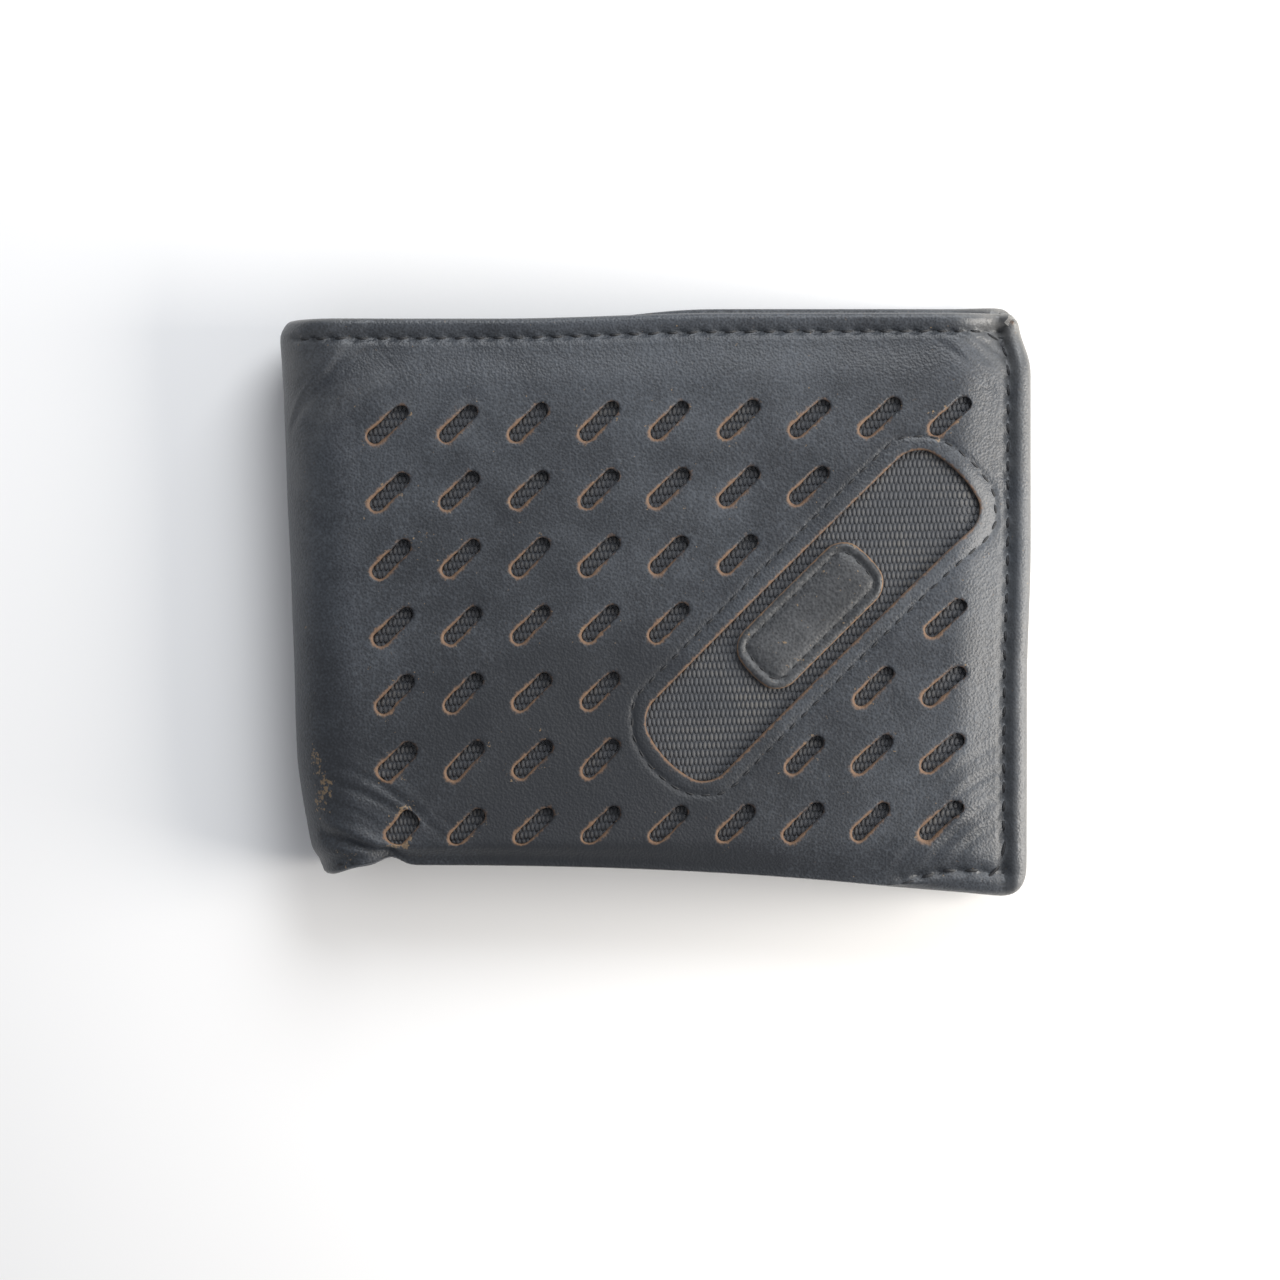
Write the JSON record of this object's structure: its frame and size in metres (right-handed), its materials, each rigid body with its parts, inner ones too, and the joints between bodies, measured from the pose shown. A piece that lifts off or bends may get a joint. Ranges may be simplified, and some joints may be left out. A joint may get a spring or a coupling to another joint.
{
  "type": "trifold wallet",
  "caption": "Worn leather folding wallet with a perforated front, a slanting window with a blank badge, card pockets, a page with a clear window and a coin pocket.",
  "frame": {"origin": "middle of the closed wallet's footprint, on the plane that its back cover rests on", "axes": "+Z out of the front cover, +X from the fold to the free edge, +Y to the open top of the note compartments"},
  "size_m": [0.116, 0.09, 0.0201],
  "materials": {
    "cover_leather": "worn smooth grain",
    "badge_leather": "worn smooth grain",
    "lining_leather": "soft matt grain",
    "ballistic_nylon": "coarse basket weave",
    "lining_nylon": "fine plain weave",
    "thread": "waxed twisted thread",
    "board": "fibre stiffening board",
    "clear_vinyl": "clear flexible sheet",
    "snap_metal": "antique plated, rubbed"
  },
  "bodies": {
    "back_leaf": {"back_cover": "cover_leather", "back_board": "board", "back_lining": "lining_nylon", "back_wall": "lining_nylon", "coin_base": "lining_leather", "coin_gusset": "lining_nylon", "coin_front": "lining_leather", "flap_root": "lining_leather", "snap_stud": "snap_metal", "snap_post": "snap_metal", "wing_anchor": "lining_leather", "back_stitches": "thread", "coin_stitches": "thread"},
    "spine": {"spine_cover": "cover_leather", "spine_lining": "lining_nylon", "spine_wall": "lining_nylon"},
    "front_leaf": {"front_cover": "cover_leather", "woven_backing": "ballistic_nylon", "front_board": "board", "front_lining": "lining_nylon", "front_wall": "lining_nylon", "card_base": "lining_leather", "card_pocket_1": "lining_leather", "card_pocket_2": "lining_leather", "card_pocket_3": "lining_leather", "card_stitches": "thread", "badge": "badge_leather", "badge_stitches": "thread", "window_stitches": "thread", "front_stitches": "thread"},
    "third_leaf": {"wing_core": "lining_leather", "wing_window": "clear_vinyl", "wing_frame": "lining_leather", "wing_pocket_1": "lining_leather", "wing_pocket_2": "lining_leather", "wing_tab": "lining_leather", "wing_stitches": "thread"},
    "coin_flap": {"flap_outer": "lining_leather", "flap_lining": "lining_nylon", "snap_cap": "snap_metal", "snap_socket": "snap_metal"}
  },
  "joints": [
    {"name": "spine_fold", "type": "hinge", "parent": "back_leaf", "child": "spine", "pos_m": [-0.05538, 0, 0.00262], "axis": [0, -1, 0], "range_deg": [0, 90]},
    {"name": "cover_fold", "type": "hinge", "parent": "spine", "child": "front_leaf", "pos_m": [-0.05538, 0, 0.01738], "axis": [0, -1, 0], "range_deg": [0, 90]},
    {"name": "third_leaf_turn", "type": "hinge", "parent": "back_leaf", "child": "third_leaf", "pos_m": [-0.0472, 0, 0.01125], "axis": [0, -1, 0], "range_deg": [0, 90]},
    {"name": "coin_flap_lift", "type": "hinge", "parent": "back_leaf", "child": "coin_flap", "pos_m": [0.0104, 0.01, 0.0074], "axis": [-1, 0, 0], "range_deg": [0, 90]}
  ],
  "couplings": [
    {"joint": "cover_fold", "follows": "spine_fold", "ratio": 1},
    {"joint": "third_leaf_turn", "follows": "spine_fold", "ratio": 1},
    {"joint": "coin_flap_lift", "follows": "spine_fold", "ratio": 1}
  ]
}
